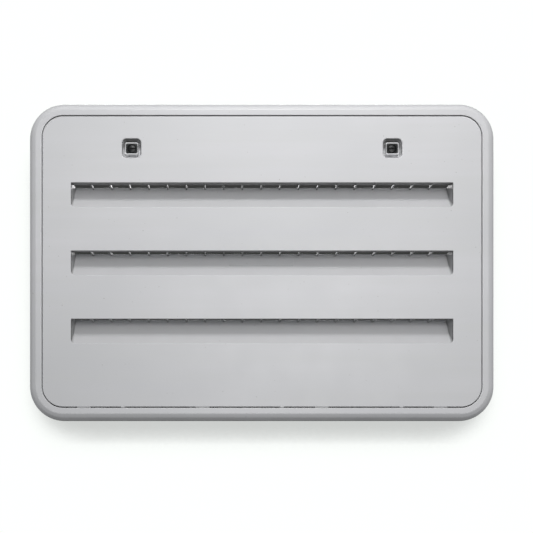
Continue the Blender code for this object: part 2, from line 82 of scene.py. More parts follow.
FACE_Z = -door_low[1] / MM
DOOR_HALF_W = (door_high[0] - door_low[0]) / 2 / MM
DOOR_HALF_H = (door_high[2] - MIDDLE_Z) / MM
RIM_HALF_W = (frame_high[0] - frame_low[0]) / 2 / MM
COLLAR_DEPTH = frame_high[1] / MM
LATCH_X = joints["right_latch_turn"]["pos_m"][0] / MM
LATCH_Y = (joints["right_latch_turn"]["pos_m"][2] - MIDDLE_Z) / MM

# ---------------------------------------------------------------- sizes of the mouldings

SHELL = 2.5
SHELL_Z = FACE_Z - SHELL
SKIRT_Z = 3.2
GAP = 1.2  # between the door and the frame
DOOR_RADIUS = 26.8
RECESS_HALF_W = DOOR_HALF_W + GAP
RECESS_HALF_H = DOOR_HALF_H + GAP
RECESS_RADIUS = DOOR_RADIUS + GAP
EDGE_R = 0.8
CORNER_STEPS = 20

BAND_W = 7.8
RIM_W = RIM_HALF_W - RECESS_HALF_W
LEDGE_W = 17.6
COLLAR_IN = 19.6
LEDGE_T = 2.5
WEB_COUNT_X = 8
WEB_PITCH_X = 73.6
WEB_COUNT_Y = 5
WEB_PITCH_Y = 65.0
WEB_T = 1.6
WEB_OUTLINE = ((1.2, 0.8), (15.8, 0.8), (15.8, 5.2), (11.8, 8.9), (7.4, 11.2), (1.2, 11.2))
SCREW_HOLE_R = 2.3
SCREW_SINK_R = 4.2
SCREW_INSET = 8.2
SCREW_XS = (-240.0, -80.0, 80.0, 240.0)
SCREW_YS = (-110.0, 0.0, 110.0)
KEEPER_HALF_W = 13.0
KEEPER_LOW_Y = 159.0

LOUVRE_COUNT = 3
LOUVRE_PITCH = 88.9
LOUVRE_MID_Y = -1.8
LOUVRE_HALF_W = 249.15
LOUVRE_H = 31.5
LOUVRE_TOP_R = 0.5
LOUVRE_CORNER_R = 5.0
LIP_R = 0.9
LIP_DEPTH = 1.7
SHEET = 2.0
SILL_BACK = (12.2, 11.6)
BAFFLE_BACK = (23.5, 31.0)
SILL_BEND_R = 12.0
BAFFLE_BEND_R = 6.0
BAFFLE_TOP_H = 33.8
HOOD_DEPTH = 13.5
HOOD_RISE = 1.8
RIB_COUNT = 19
RIB_PITCH = 25.0
RIB_T = 1.5
RIB_DROP = 0.6
RIB_TALL = 4.2
END_FILLET_ROOT = 0.6
END_FILLET_BACK_R = 1.0
END_FILLET_FADE = 10.0  # depth over which the extra radius at the slot's corners falls to 1/e
PAD_HALF = (43.0, 7.0)
PAD_RADIUS = 1.2
PAD_T = 0.4
PAD_SUNK = 0.8

TONGUE_XS = (-232.9, -77.9, 77.9, 232.9)
TONGUE_HALF_W = 9.15
TONGUE_Z = (7.8, 9.8)
TONGUE_REACH = 8.0
WINDOW_Z = (3.0, 10.15)
WINDOW_SIDE_GAP = 0.8
NUB_XS = (-181.7, 26.0, 181.7)
NUB_HALF_W = 2.3
NUB_REACH = 0.85
NUB_DROP = 0.1
SHOULDER_STEP = 0.4
SHOULDER_DROP = 0.4
STIFFENER_XS = (-225.0, -112.5, 0.0, 112.5, 225.0)
STIFFENER_T = 1.6
STIFFENER_Z = 6.4

PAN_TOP_HALF = 12.8
PAN_FLOOR_HALF = 10.2
PAN_RADIUS = 4.0
PAN_FLARE = 0.7  # gain of the corner radius as the pan widens towards the face
PAN_FLOOR_Z = 6.0
PAN_WALL = 2.2
PAN_BACK_Z = PAN_FLOOR_Z - PAN_WALL
BOSS_HALF = (8.3, 7.9)
BOSS_RADIUS = 2.0
BOSS_TOP_Z = 11.6
BOSS_DRAFT = 0.9
HOLE_BEVEL = 0.65
SQUARE_HOLE_HALF = (7.45, 6.15)
CLEAR = 0.3  # between the pieces of a latch
BEZEL_Z = (2.2, 10.9)
BEZEL_RADIUS = 1.4
BEZEL_MOUTH = 0.35
HEAD_R = 5.1
HEAD_FLOOR_Z = 8.4
HEAD_TOP_Z = 11.2
SHAFT_R = 3.5
SHAFT_END_Z = -0.5
SQUARE_HALF = 2.5
SQUARE_END_Z = -3.3
SLOT_HALF_W = 0.8
SLOT_DEPTH = 1.3
PILOT_R = 1.5
PILOT_DEPTH = 6.0
RETAINER_HALF = (11.0, 10.0)
RETAINER_RADIUS = 2.0
RETAINER_T = 0.8
RETAINER_CLEAR = 0.05
RELIEF_HALF = (1.0, 8.6)
RELIEF_RADIUS = 0.9
WASHER_R = (4.0, 5.8)
WASHER_T = 0.6
WASHER_RISE = 1.6
CAM_Z = (-3.0, -0.8)
CAM_HUB_R = 6.0
CAM_LENGTH = 20.0
CAM_TIP_R = 5.0
SCREW_HEAD_R = 3.6
SCREW_HEAD_T = 1.6
SCREW_SHANK_R = 1.2
SCREW_LENGTH = 5.0
CROSS_HALF = (1.9, 0.35)
CROSS_DEPTH = 0.9

TURN_STEPS = 64
HOLE_STEPS = 32
LIP_STEPS = 5
SMALL_CORNER_STEPS = 8
TINY_CORNER_STEPS = 6
CAM_HUB_STEPS = 24
CAM_TIP_STEPS = 16
BEVEL_SEGMENTS = 3
BEVEL_ANGLE = math.radians(35)
WELD = 0.001

# ---------------------------------------------------------------- shape helpers


def outline(half_w, low, high, radii, grow=0.0, steps=CORNER_STEPS):
    """A rounded rectangle, anticlockwise from its top right corner, grown outwards by grow."""
    corners = (
        (half_w, high, -1, -1), (-half_w, high, 1, -1), (-half_w, low, 1, 1), (half_w, low, -1, 1),
    )
    points = []
    for turn, ((x, y, to_x, to_y), radius) in enumerate(zip(corners, radii, strict=True)):
        centre = (x + to_x * radius, y + to_y * radius)
        for step in range(steps + 1):
            angle = (turn + step / steps) * math.pi / 2
            reach = radius + grow
            points.append((centre[0] + reach * math.cos(angle), centre[1] + reach * math.sin(angle)))
    return points


def rounded(half_w, half_h, radius, grow=0.0, steps=CORNER_STEPS):
    """A rounded rectangle about the middle, with one radius at all corners."""
    return outline(half_w, -half_h, half_h, (radius,) * 4, grow, steps)


def bent(corners, steps=5):
    """A path through corners given as (x, y, radius), with each bend drawn as an arc."""
    path = [Vector(corners[0][:2])]
    for before, corner, after in zip(corners, corners[1:], corners[2:]):
        here, radius = Vector(corner[:2]), corner[2]
        back = (Vector(before[:2]) - here).normalized()
        onward = (Vector(after[:2]) - here).normalized()
        half = back.angle(onward) / 2
        if radius == 0.0:
            path.append(here)
            continue
        centre = here + (back + onward).normalized() * radius / math.sin(half)
        start = here + back * radius / math.tan(half) - centre
        finish = here + onward * radius / math.tan(half) - centre
        sweep = -start.angle_signed(finish)
        for step in range(steps + 1):
            path.append(centre + Matrix.Rotation(sweep * step / steps, 2) @ start)
    path.append(Vector(corners[-1][:2]))
    return path


def arc(x, radius, start, sweep, steps):
    """Points along an arc about (x, 0)."""
    angles = [start + sweep * step / steps for step in range(steps + 1)]
    return [(x + radius * math.cos(angle), radius * math.sin(angle)) for angle in angles]


def row(count, pitch):
    """Evenly spaced places along a line, about its middle."""
    return [(i - (count - 1) / 2) * pitch for i in range(count)]


def finished(bm):
    """The bmesh as a mesh with its faces pointing out."""
    mesh = bpy.data.meshes.new("shape")
    bmesh.ops.recalc_face_normals(bm, faces=bm.faces)
    bm.to_mesh(mesh)
    bm.free()
    return mesh


def loft(rings, closed=False):
    """A skin over rings of matching points, each given as (points, z); closed joins last to first."""
    bm = bmesh.new()
    rows = [[bm.verts.new((x, y, z)) for x, y in points] for points, z in rings]
    pairs = list(zip(rows, rows[1:]))
    if closed:
        pairs.append((rows[-1], rows[0]))
    for below, above in pairs:
        for i in range(len(below)):
            j = (i + 1) % len(below)
            bm.faces.new((below[i], below[j], above[j], above[i]))
    if not closed:
        bm.faces.new(rows[0])
        bm.faces.new(rows[-1])
    return finished(bm)


def prism(points, low, high, edge=0.0):
    """A flat outline thick from z = low to z = high, its rims rounded by edge."""
    bm = bmesh.new()
    bm.faces.new([bm.verts.new((x, y, low)) for x, y in points])
    grown = bmesh.ops.extrude_face_region(bm, geom=bm.faces[:])
    top = [item for item in grown["geom"] if isinstance(item, bmesh.types.BMVert)]
    bmesh.ops.translate(bm, verts=top, vec=(0, 0, high - low))
    bm.normal_update()
    if edge:
        sharp = [e for e in bm.edges if e.calc_face_angle(0.0) > BEVEL_ANGLE]
        bmesh.ops.bevel(
            bm, geom=sharp, offset=edge, segments=BEVEL_SEGMENTS, profile=0.5, affect="EDGES"
        )
    return finished(bm)


TO_SECTION = Matrix(((0, 0, 1, 0), (1, 0, 0, 0), (0, 1, 0, 0), (0, 0, 0, 1)))  # x, y, z to y, z, x


def strip(points, low, high, edge=0.0):
    """A section in y and z, drawn out along x from low to high."""
    mesh = prism(points, low, high, edge)
    mesh.transform(TO_SECTION)
    return mesh


def box(low, high, edge=0.0):
    """A block between two opposite corners."""
    (x0, y0, z0), (x1, y1, z1) = low, high
    return prism(((x0, y0), (x1, y0), (x1, y1), (x0, y1)), z0, z1, edge)


def turned(profile, steps=TURN_STEPS):
    """A profile of (radius, z) points, from the axis round to the axis, turned about z."""
    bm = bmesh.new()
    chain = [bm.verts.new((r, 0, z)) for r, z in profile]
    edges = [bm.edges.new(pair) for pair in zip(chain, chain[1:])]
    bmesh.ops.spin(
        bm, geom=chain + edges, cent=(0, 0, 0), axis=(0, 0, 1), angle=2 * math.pi, steps=steps
    )
    bmesh.ops.remove_doubles(bm, verts=bm.verts, dist=WELD)
    return finished(bm)


def cone(low_radius, high_radius, low, high):
    """A solid round cutter about z, from one radius at low to another at high."""
    return turned(((0, low), (low_radius, low), (high_radius, high), (0, high)), HOLE_STEPS)


def moved(mesh, x=0.0, y=0.0, turn=0.0):
    """A copy of the mesh, turned about z and shifted in the plan."""
    copy = mesh.copy()
    copy.transform(Matrix.Translation((x, y, 0)) @ Matrix.Rotation(turn, 4, "Z"))
    return copy


def joined(meshes):
    """Shapes that overlap in one moulding, kept as shells of one mesh."""
    bm = bmesh.new()
    for mesh in meshes:
        bm.from_mesh(mesh)
    return finished(bm)


def cut(mesh, tools):
    """The mesh with shapes that are clear of each other cut away."""
    body = bpy.data.objects.new("body", mesh)
    tool = bpy.data.objects.new("tool", joined(tools))
    for obj in (body, tool):
        bpy.context.scene.collection.objects.link(obj)
    boolean = body.modifiers.new("cut", "BOOLEAN")
    boolean.operation = "DIFFERENCE"
    boolean.solver = "EXACT"
    boolean.object = tool
    graph = bpy.context.evaluated_depsgraph_get()
    result = bpy.data.meshes.new_from_object(body.evaluated_get(graph))
    bpy.data.objects.remove(body)
    bpy.data.objects.remove(tool)
    return result


# ---------------------------------------------------------------- frame moulding


def frame_section():
    """Closed section as (offset outwards from the recess wall, height)."""
    start = (BAND_W / 2, FACE_Z, 0.0)
    return bent((
        start, (BAND_W, FACE_Z, 5.0), (12.8, 10.2, 14.0), (RIM_W, 6.2, 3.0), (RIM_W, 0.0, 0.5),
        (RIM_W - SHELL, 0.0, 0.5), (RIM_W - SHELL, 5.1, 1.0), (11.4, 8.1, 8.0), (7.2, SHELL_Z, 2.0),
        (SHELL, SHELL_Z, 0.6), (SHELL, 0.0, 0.3), (-LEDGE_W, 0.0, 0.4), (-LEDGE_W, -COLLAR_DEPTH, 0.6),
        (-COLLAR_IN, -COLLAR_DEPTH, 0.6), (-COLLAR_IN, LEDGE_T, 0.8), (0.0, LEDGE_T, 0.8),
        (0.0, FACE_Z, EDGE_R), start,
    ))[:-1]


def frame_webs():
    """Stiffening webs in the hollow back of the rim, all round."""
    web = prism(WEB_OUTLINE, -WEB_T / 2, WEB_T / 2)
    web.transform(Matrix.Rotation(math.pi / 2, 4, "X"))
    xs = row(WEB_COUNT_X, WEB_PITCH_X)
    ys = row(WEB_COUNT_Y, WEB_PITCH_Y)
    webs = [moved(web, x, RECESS_HALF_H, turn=math.pi / 2) for x in xs]
    webs += [moved(web, x, -RECESS_HALF_H, turn=-math.pi / 2) for x in xs]
    webs += [moved(web, RECESS_HALF_W, y) for y in ys]
    return webs + [moved(web, -RECESS_HALF_W, y, turn=math.pi) for y in ys]


def frame_keepers():
    """Two tabs under the top ledge, with a ramped front edge, that the cams turn behind."""
    ledge_edge = RECESS_HALF_H - COLLAR_IN
    section = bent((
        (ledge_edge + 2, 0.0, 0), (KEEPER_LOW_Y, 0.0, 0.4), (KEEPER_LOW_Y, LEDGE_T - 1.2, 0.4),
        (KEEPER_LOW_Y + 3, LEDGE_T, 1.5), (ledge_edge + 2, LEDGE_T, 0),
    ))
    tab = strip(section, -KEEPER_HALF_W, KEEPER_HALF_W)
    return [moved(tab, -LATCH_X), moved(tab, LATCH_X)]


def screw_places():
    """Where the wall screws go through the ledge, on all four sides."""
    x_side, y_side = RECESS_HALF_W - SCREW_INSET, RECESS_HALF_H - SCREW_INSET
    places = [(x, side * y_side) for x in SCREW_XS for side in (-1, 1)]
    return places + [(side * x_side, y) for y in SCREW_YS for side in (-1, 1)]


def frame_mesh():
    """Rim, recess, ledge and collar in one section, with its screw holes and tongue windows."""
    rings = [
        (rounded(RECESS_HALF_W, RECESS_HALF_H, RECESS_RADIUS, grow=offset), height)
        for offset, height in frame_section()
    ]
    mesh = loft(rings, closed=True)
    sink_depth = SCREW_SINK_R - SCREW_HOLE_R
    hole = cone(SCREW_HOLE_R, SCREW_HOLE_R, -CUT, LEDGE_T + CUT)
    sink = cone(SCREW_HOLE_R, SCREW_SINK_R + CUT, LEDGE_T - sink_depth, LEDGE_T + CUT)
    half = TONGUE_HALF_W + WINDOW_SIDE_GAP
    outer_y, inner_y = -RECESS_HALF_H - SHELL - CUT, -RECESS_HALF_H + CUT
    windows = [
        box((x - half, outer_y, WINDOW_Z[0]), (x + half, inner_y, WINDOW_Z[1])) for x in TONGUE_XS
    ]
    mesh = cut(mesh, [moved(hole, *place) for place in screw_places()] + windows)
    mesh = cut(mesh, [moved(sink, *place) for place in screw_places()])
    return joined([mesh, *frame_webs(), *frame_keepers()])


# ---------------------------------------------------------------- door moulding


def louvre_bases():
    """Lower edges of the slots, from the lowest one up."""
    return [LOUVRE_MID_Y + y - LOUVRE_H / 2 for y in row(LOUVRE_COUNT, LOUVRE_PITCH)]


def at_louvre(points, base):
    """Points given as (depth behind the face, height above the slot's lower edge) as (y, z)."""
    return [(base + height, FACE_Z - depth) for depth, height in points]


def door_shell():
    """Face and edge skirt as one skin, from the pocket's floor round the skirt to the face."""
    levels = bent((
        (-SHELL - 3, SHELL_Z, 0), (-SHELL, SHELL_Z, 0.8), (-SHELL, SKIRT_Z, 0.4), (0, SKIRT_Z, 0.4),
        (0, FACE_Z, EDGE_R), (-3, FACE_Z, 0),
    ))
    return loft([(rounded(DOOR_HALF_W, DOOR_HALF_H, DOOR_RADIUS, grow=inset), z) for inset, z in levels])


def louvre_opening(base):
    """The slot's cutter, flared at the face so that the lip is round."""
    radii = (LOUVRE_TOP_R, LOUVRE_TOP_R, LOUVRE_CORNER_R, LOUVRE_CORNER_R)
    levels = [(0.0, SHELL_Z - CUT)]
    for step in range(LIP_STEPS + 1):
        angle = step / LIP_STEPS * math.pi / 2
        levels.append((LIP_R * (1 - math.cos(angle)), FACE_Z - LIP_R * (1 - math.sin(angle))))
    levels.append((LIP_R, FACE_Z + CUT))
    return loft([
        (outline(LOUVRE_HALF_W, base, base + LOUVRE_H, radii, grow, SMALL_CORNER_STEPS), z)
        for grow, z in levels
    ])


def scoop_front():
    """The sill's and the baffle's visible side, from the slot's lower edge up."""
    return bent((
        (LIP_DEPTH, -1.4, 0), (LIP_DEPTH, 0.0, 0.3), (*SILL_BACK, SILL_BEND_R), (*BAFFLE_BACK, BAFFLE_BEND_R),
        (BAFFLE_BACK[0], BAFFLE_TOP_H, 0.95), (BAFFLE_BACK[0] + SHEET, BAFFLE_TOP_H, 0),
    ))[:-1]


def scoop_section():
    """The sill's and the baffle's sheet, front side up and back side down."""
    return scoop_front() + bent((
        (BAFFLE_BACK[0] + SHEET / 2, BAFFLE_TOP_H, 0), (BAFFLE_BACK[0] + SHEET, BAFFLE_TOP_H, 0.9),
        (BAFFLE_BACK[0] + SHEET, BAFFLE_BACK[1] - 0.6, BAFFLE_BEND_R + SHEET),
        (SILL_BACK[0] + 1.5, SILL_BACK[1] - 1.6, SILL_BEND_R + SHEET), (2.6, -1.4, 0),
    ))[1:]


def hood_section():
    """The sheet that closes the slot's top, rising a little towards the back."""
    top = LOUVRE_H + HOOD_RISE
    return bent((
        (LIP_DEPTH, LOUVRE_H + SHEET, 0), (LIP_DEPTH, LOUVRE_H - 0.15, 0), (HOOD_DEPTH, top, 0.95),
        (HOOD_DEPTH, top + SHEET, 0.95), (LIP_DEPTH, LOUVRE_H + SHEET, 0),
    ))[:-1]


def louvre_sheet(section, base):
    """A section drawn out over the slot's width and into its end walls."""
    half = LOUVRE_HALF_W + SHEET / 2
    return strip(at_louvre(section, base), -half, half)


def scoop_ends(base):
    """End walls of one slot, a little proud of its sheets so that they close the corners."""
    points = [
        (1.2, -1.2), (1.2, LOUVRE_H + 1.6), (HOOD_DEPTH - 1.0, LOUVRE_H + HOOD_RISE + 1.4),
        (BAFFLE_BACK[0] + 1.4, BAFFLE_TOP_H - 0.9), (BAFFLE_BACK[0] + 1.4, BAFFLE_BACK[1] - 0.3),
        (SILL_BACK[0] + 1.1, SILL_BACK[1] - 1.1), (2.4, -1.2),
    ]
    wall = strip(at_louvre(points, base), 0.0, SHEET)
    return [moved(wall, LOUVRE_HALF_W), moved(wall, -LOUVRE_HALF_W - SHEET)]


def end_fillets(base):
    """Rounded inner corners where the scoop meets its end walls, tighter towards the back."""
    path = [point for point in scoop_front() if point.y < LOUVRE_H - 1 and point.x > LIP_DEPTH + 0.01]
    fillets = []
    for sign in (-1, 1):
        rings = []
        for depth, height in path:
            spread = math.exp(-depth / END_FILLET_FADE)
            radius = END_FILLET_BACK_R + (LOUVRE_CORNER_R - END_FILLET_BACK_R) * spread
            section = [(END_FILLET_ROOT, -END_FILLET_ROOT), (-radius, -END_FILLET_ROOT)]
            for step in range(SMALL_CORNER_STEPS + 1):
                angle = step / SMALL_CORNER_STEPS * math.pi / 2
                section.append((-radius * (1 - math.sin(angle)), radius * (1 - math.cos(angle))))
            section.append((END_FILLET_ROOT, radius))
            points = [(sign * (LOUVRE_HALF_W + across), base + height + up) for across, up in section]
            rings.append((points, FACE_Z - depth))
        fillets.append(loft(rings))
    return fillets


def louvre_ribs(base):
    """Fins that bridge the gap between the baffle and the hood."""
    low = LOUVRE_H - RIB_DROP
    points = [
        (1.4, low + 1.6), (1.4, low + 0.9), (2.6, low), (BAFFLE_BACK[0] + 0.8, low),
        (BAFFLE_BACK[0] + 0.8, BAFFLE_TOP_H - 1.0), (HOOD_DEPTH - 0.8, low + RIB_TALL),
    ]
    fin = strip(at_louvre(points, base), -RIB_T / 2, RIB_T / 2, edge=0.25)
    return [moved(fin, x) for x in row(RIB_COUNT, RIB_PITCH)]


def blank_pad(base):
    """A thin plain panel with soft edges in the middle of a baffle."""
    foot, top = Vector(SILL_BACK), Vector(BAFFLE_BACK)
    lean = (top - foot).normalized()
    out = Vector((-lean.y, lean.x))
    pad = prism(rounded(*PAD_HALF, PAD_RADIUS, steps=TINY_CORNER_STEPS), -PAD_SUNK, PAD_T, edge=0.2)
    centre = (foot + top) / 2
    x_axis, y_axis, z_axis = Vector((1, 0, 0)), Vector((0, lean.y, -lean.x)), Vector((0, out.y, -out.x))
    place = Matrix.Translation((0, base + centre.y, FACE_Z - centre.x))
    pad.transform(place @ Matrix((x_axis, y_axis, z_axis)).transposed().to_4x4())
    return pad


def door_stiffeners():
    """Upright ribs on the door's back, in the spans between the louvres."""
    bases = louvre_bases()
    hood_top = LOUVRE_H + HOOD_RISE + SHEET / 2
    spans = [(-DOOR_HALF_H + SHELL / 2, bases[0] - 0.8)]
    spans += [(low + hood_top, high - 0.8) for low, high in zip(bases, bases[1:])]
    spans += [(bases[-1] + hood_top, DOOR_HALF_H - SHELL / 2)]
    half = STIFFENER_T / 2
    return [
        box((x - half, low, STIFFENER_Z), (x + half, high, SHELL_Z + SHELL / 2))
        for x in STIFFENER_XS
        for low, high in spans
    ]


def tongues_and_nubs():
    """Tongues with shoulders that close the gap above them, and small spacers."""
    root_y = -DOOR_HALF_H + SHELL
    tip_y = -DOOR_HALF_H - TONGUE_REACH
    nub_y = -DOOR_HALF_H - NUB_REACH
    shoulder = TONGUE_HALF_W - SHOULDER_STEP
    parts = [
        box((x - TONGUE_HALF_W, tip_y, TONGUE_Z[0]), (x + TONGUE_HALF_W, root_y, TONGUE_Z[1]), edge=0.5)
        for x in TONGUE_XS
    ]
    parts += [
        box((x - shoulder, nub_y, TONGUE_Z[0] + 1), (x + shoulder, root_y, FACE_Z - SHOULDER_DROP), edge=0.2)
        for x in TONGUE_XS
    ]
    return parts + [
        box((x - NUB_HALF_W, nub_y, SHELL_Z), (x + NUB_HALF_W, root_y, FACE_Z - NUB_DROP), edge=0.2)
        for x in NUB_XS
    ]


def at_latches(mesh):
    """Copies of a shape drawn about the latch axis, at both latches."""
    return [moved(mesh, -LATCH_X, LATCH_Y), moved(mesh, LATCH_X, LATCH_Y)]


def square(half, z):
    """One level of a latch pan, rounder towards the face."""
    radius = PAN_RADIUS + (half - PAN_FLOOR_HALF) * PAN_FLARE
    return rounded(half, half, radius, steps=SMALL_CORNER_STEPS), z


def pan_shell():
    """The latch recess from outside, still solid."""
    return loft([
        square(PAN_FLOOR_HALF + PAN_WALL, PAN_BACK_Z),
        square(PAN_TOP_HALF + PAN_WALL, SHELL_Z + SHELL / 2),
    ])


def pan_hollow():
    """The latch recess's cutter, flared at the face so that its rim is round."""
    levels = bent((
        (PAN_FLOOR_HALF - 2, PAN_FLOOR_Z, 0), (PAN_FLOOR_HALF, PAN_FLOOR_Z, 1.0),
        (PAN_TOP_HALF, FACE_Z, 1.1), (PAN_TOP_HALF + 3, FACE_Z, 0),
    ))[:-1]
    return loft([square(half, z) for half, z in levels] + [square(levels[-1].x, FACE_Z + CUT)])


def boss():
    """The raised ring in the pan, with a square hole through it."""
    levels = bent(((BOSS_DRAFT, PAN_BACK_Z + CUT, 0), (0.0, BOSS_TOP_Z, 0.2), (-0.5, BOSS_TOP_Z, 0)))
    return loft([
        (rounded(*BOSS_HALF, BOSS_RADIUS, grow, SMALL_CORNER_STEPS), z) for grow, z in levels
    ])


def square_hole():
    """The cutter for the bush's hole through boss and pan, bevelled at its mouth."""
    radius = BEZEL_RADIUS + CLEAR
    levels = [
        (0.0, 0.0), (0.0, BOSS_TOP_Z - HOLE_BEVEL), (HOLE_BEVEL, BOSS_TOP_Z), (HOLE_BEVEL, FACE_Z)
    ]
    return loft([
        (rounded(*SQUARE_HOLE_HALF, radius, grow, SMALL_CORNER_STEPS), z) for grow, z in levels
    ])


def door_mesh():
    """Face with its slots and latch recesses, and everything moulded on to it."""
    bases = louvre_bases()
    skin = cut(door_shell(), [louvre_opening(base) for base in bases])
    skin = cut(skin, at_latches(pan_hollow()))
    pan = cut(cut(pan_shell(), [pan_hollow()]), [square_hole()])
    shells = [skin, *at_latches(pan), *at_latches(cut(boss(), [square_hole()]))]
    for base in bases:
        shells.append(louvre_sheet(scoop_section(), base))
        shells.append(louvre_sheet(hood_section(), base))
        shells += scoop_ends(base) + end_fillets(base) + louvre_ribs(base)
    shells.append(blank_pad(bases[1]))
    return joined(shells + door_stiffeners() + tongues_and_nubs())


# ---------------------------------------------------------------- latch pieces, about their own axis


def bezel_mesh():
    """Square bush with a round well for the knob's head and a bore for its shaft."""
    half = [side - CLEAR for side in SQUARE_HOLE_HALF]
    levels = bent((
        (-1, BEZEL_Z[0], 0), (0, BEZEL_Z[0], 0.3), (0, BEZEL_Z[1], 0.45), (-1, BEZEL_Z[1], 0),
    ))
    mesh = loft([(rounded(*half, BEZEL_RADIUS, grow, SMALL_CORNER_STEPS), z) for grow, z in levels])
    well = HEAD_R + CLEAR
    mouth = well + BEZEL_MOUTH
    bore = turned((
        (0, BEZEL_Z[1] + CUT), (mouth, BEZEL_Z[1] + CUT), (mouth, BEZEL_Z[1]),
        (well, BEZEL_Z[1] - BEZEL_MOUTH), (well, HEAD_FLOOR_Z), (SHAFT_R + CLEAR, HEAD_FLOOR_Z),
        (SHAFT_R + CLEAR, BEZEL_Z[0] - CUT), (0, BEZEL_Z[0] - CUT),
    ))
    return cut(mesh, [bore])


def retainer_mesh():
    """Spring plate round the bush, with relief slots that let its edges give."""
    top = PAN_BACK_Z - CLEAR
    low = top - RETAINER_T
    mesh = prism(rounded(*RETAINER_HALF, RETAINER_RADIUS, steps=SMALL_CORNER_STEPS), low, top, edge=0.15)
    opening = [side + RETAINER_CLEAR for side in SQUARE_HOLE_HALF]
    hole_outline = rounded(*opening, BEZEL_RADIUS + CLEAR, steps=SMALL_CORNER_STEPS)
    relief_outline = rounded(*RELIEF_HALF, RELIEF_RADIUS, steps=TINY_CORNER_STEPS)
    relief = prism(relief_outline, low - CUT, top + CUT)
    mesh = cut(mesh, [prism(hole_outline, low - CUT, top + CUT)])
    mesh = cut(mesh, [relief])
    return cut(mesh, [moved(relief, turn=math.pi / 2)])


def knob_mesh():
    """Crowned coin-slot head, round shaft, and square end with the screw's pilot hole."""
    floor = HEAD_FLOOR_Z + CLEAR
    mesh = turned((
        (0, HEAD_TOP_Z), (HEAD_R * 0.3, HEAD_TOP_Z - 0.07), (HEAD_R * 0.6, HEAD_TOP_Z - 0.28),
        (HEAD_R * 0.85, HEAD_TOP_Z - 0.56), (HEAD_R * 0.96, HEAD_TOP_Z - 0.8), (HEAD_R, HEAD_TOP_Z - 1.15),
        (HEAD_R, floor + 0.1), (HEAD_R - 0.1, floor), (SHAFT_R, floor), (SHAFT_R, SHAFT_END_Z + 0.3),
        (SHAFT_R - 0.3, SHAFT_END_Z), (0, SHAFT_END_Z),
    ))
    side = SQUARE_HALF
    square_end = box((-side, -side, SQUARE_END_Z), (side, side, SHAFT_END_Z + CUT), edge=0.25)
    reach = HEAD_R * 0.86
    slot_outline = rounded(reach, SLOT_HALF_W, SLOT_HALF_W * 0.6, steps=TINY_CORNER_STEPS)
    slot = prism(slot_outline, HEAD_TOP_Z - SLOT_DEPTH, HEAD_TOP_Z + CUT)
    pilot = cone(PILOT_R, PILOT_R, SQUARE_END_Z - CUT, SQUARE_END_Z + PILOT_DEPTH)
    return joined([cut(mesh, [slot]), cut(square_end, [pilot])])


def washer_mesh():
    """Coned spring washer, its inner edge raised."""
    low = CAM_Z[1] + CLEAR
    inner, outer = WASHER_R
    corners = (
        (inner, low + WASHER_RISE + WASHER_T), (outer, low + WASHER_T),
        (outer, low), (inner, low + WASHER_RISE),
    )
    return loft([
        (arc(0.0, radius, 0.0, 2 * math.pi, TURN_STEPS)[:-1], z) for radius, z in corners
    ], closed=True)


def cam_mesh():
    """Flat cam with a round hub and tip, pointing sideways at rest, on the shaft's square end."""
    hub = arc(0.0, CAM_HUB_R, math.pi / 2, -math.pi, CAM_HUB_STEPS)
    tip = arc(CAM_TIP_R - CAM_LENGTH, CAM_TIP_R, -math.pi / 2, -math.pi, CAM_TIP_STEPS)
    mesh = prism((hub + tip)[::-1], *CAM_Z, edge=0.35)
    side = SQUARE_HALF + CLEAR
    hole = box((-side, -side, CAM_Z[0] - CUT), (side, side, CAM_Z[1] + CUT))
    return cut(mesh, [hole])


def cross_outline(reach, half):
    """A plus sign with arms of this reach and half width, three corners to an arm."""
    arm = [(reach, -half), (reach, half), (half, half)]
    points = []
    for _ in range(4):
        points += arm
        arm = [(-y, x) for x, y in arm]
    return points


def latch_screw_mesh():
    """Pan-head screw with a cross recess, up into the shaft's square end."""
    seat = SQUARE_END_Z - CLEAR
    low = seat - SCREW_HEAD_T
    mesh = turned((
        (0, seat + SCREW_LENGTH), (SCREW_SHANK_R, seat + SCREW_LENGTH), (SCREW_SHANK_R, seat),
        (SCREW_HEAD_R, seat), (SCREW_HEAD_R, low + 0.7), (SCREW_HEAD_R - 0.25, low + 0.25),
        (SCREW_HEAD_R - 0.9, low), (0, low),
    ))
    recess = prism(cross_outline(*CROSS_HALF), low - CUT, low + CROSS_DEPTH)
    return cut(mesh, [recess])


# ---------------------------------------------------------------- materials


